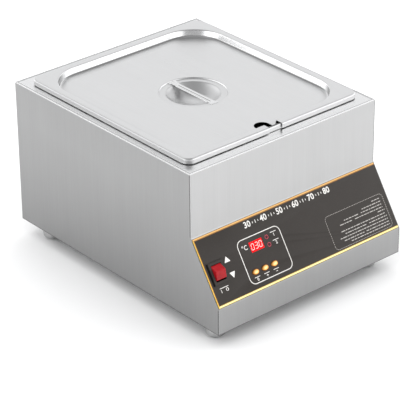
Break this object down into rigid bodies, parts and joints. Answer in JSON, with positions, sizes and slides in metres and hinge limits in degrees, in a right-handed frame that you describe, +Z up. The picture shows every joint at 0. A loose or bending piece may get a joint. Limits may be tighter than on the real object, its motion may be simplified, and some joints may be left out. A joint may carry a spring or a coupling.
{
  "type": "electric chocolate melting pot",
  "caption": "Counter-top electric melting pot: brushed steel casing with a sloping control panel, a lift-out pan in a heated well and a lid with a sunk handle and spoon notch.",
  "frame": {"origin": "middle of the whole outline (gland included) on the surface that the feet stand on", "axes": "+Z up, -Y the front with the control panel, +X to the right as seen from the front"},
  "size_m": [0.354, 0.477, 0.2645],
  "materials": {
    "casing_steel": "vertical brushed grain, satin",
    "base_steel": "dull mill finish",
    "well_steel": "satin, cold rolled",
    "pan_steel": "fine satin, bright pressed edges",
    "panel_print": "printed film, satin, gold border",
    "display_red": "tinted lens, gloss",
    "lamp_red": "clear moulded lamp",
    "zinc_steel": "bright zinc plate",
    "insulation": "needled glass fibre felt",
    "element_sheath": "heat-dulled steel sheath",
    "black_plastic": "moulded, fine grain",
    "board_green": "coated circuit board",
    "ivory_plastic": "moulded, satin",
    "relay_blue": "moulded, satin",
    "transformer_yellow": "taped winding",
    "brass": "plain",
    "wire_red": "silicone sheath",
    "rocker_red": "moulded, gloss",
    "button_gold": "domed, gold",
    "black_rubber": "matt",
    "foot_steel": "turned, satin"
  },
  "bodies": {
    "casing": {"side_panel_left": "casing_steel", "side_panel_right": "casing_steel", "front_panel": "casing_steel", "back_panel": "casing_steel", "bottom_plate": "base_steel", "top_deck": "casing_steel", "control_overlay": "panel_print", "display_window": "display_red", "casing_screws": "zinc_steel", "well_tank": "well_steel", "well_studs": "zinc_steel", "stud_nuts": "zinc_steel", "insulation_wrap": "insulation", "insulation_pad": "insulation", "heat_shield": "base_steel", "heating_element": "element_sheath", "heater_clamp_bars": "zinc_steel", "temperature_sensor": "zinc_steel", "sensor_clip": "zinc_steel", "thermal_cutout": "black_plastic", "control_board": "board_green", "board_standoffs": "zinc_steel", "board_screws": "zinc_steel", "display_module": "ivory_plastic", "indicator_leds": "lamp_red", "tact_switches": "black_plastic", "heater_relay": "relay_blue", "board_transformer": "transformer_yellow", "board_connectors": "ivory_plastic", "terminal_block": "ivory_plastic", "earth_stud": "brass", "wiring_harness": "wire_red", "switch_housing": "black_plastic", "switch_contacts": "brass", "switch_terminals": "brass", "gland_body": "black_plastic", "gland_locknut": "black_plastic", "gland_seal": "black_rubber", "gland_dome_nut": "black_plastic", "foot_cups": "foot_steel", "foot_pads": "black_rubber", "foot_screws": "zinc_steel", "foot_nuts": "zinc_steel"},
    "pan_group": {"pan": "pan_steel"},
    "lid_group": {"lid": "pan_steel", "lid_dish": "pan_steel", "lid_handle": "pan_steel"},
    "rocker": {"switch_rocker": "rocker_red"},
    "key_set": {"button_set": "button_gold"},
    "key_up": {"button_up": "button_gold"},
    "key_down": {"button_down": "button_gold"}
  },
  "joints": [
    {"name": "pan_lift", "type": "slide", "parent": "casing", "child": "pan_group", "axis": [0, 0, 1], "range_m": [0, 0.14]},
    {"name": "lid_lift", "type": "slide", "parent": "pan_group", "child": "lid_group", "axis": [0, 0, 1], "range_m": [0, 0.12]},
    {"name": "switch_rock", "type": "hinge", "parent": "casing", "child": "rocker", "pos_m": [-0.1547, -0.20965, 0.1059], "axis": [1, 0, 0], "range_deg": [0, 18]},
    {"name": "set_press", "type": "slide", "parent": "casing", "child": "key_set", "axis": [0, 0.8367, -0.5477], "range_m": [0, 0.001], "stiffness_N_per_m": 400},
    {"name": "up_press", "type": "slide", "parent": "casing", "child": "key_up", "axis": [0, 0.8367, -0.5477], "range_m": [0, 0.001], "stiffness_N_per_m": 400},
    {"name": "down_press", "type": "slide", "parent": "casing", "child": "key_down", "axis": [0, 0.8367, -0.5477], "range_m": [0, 0.001], "stiffness_N_per_m": 400}
  ]
}
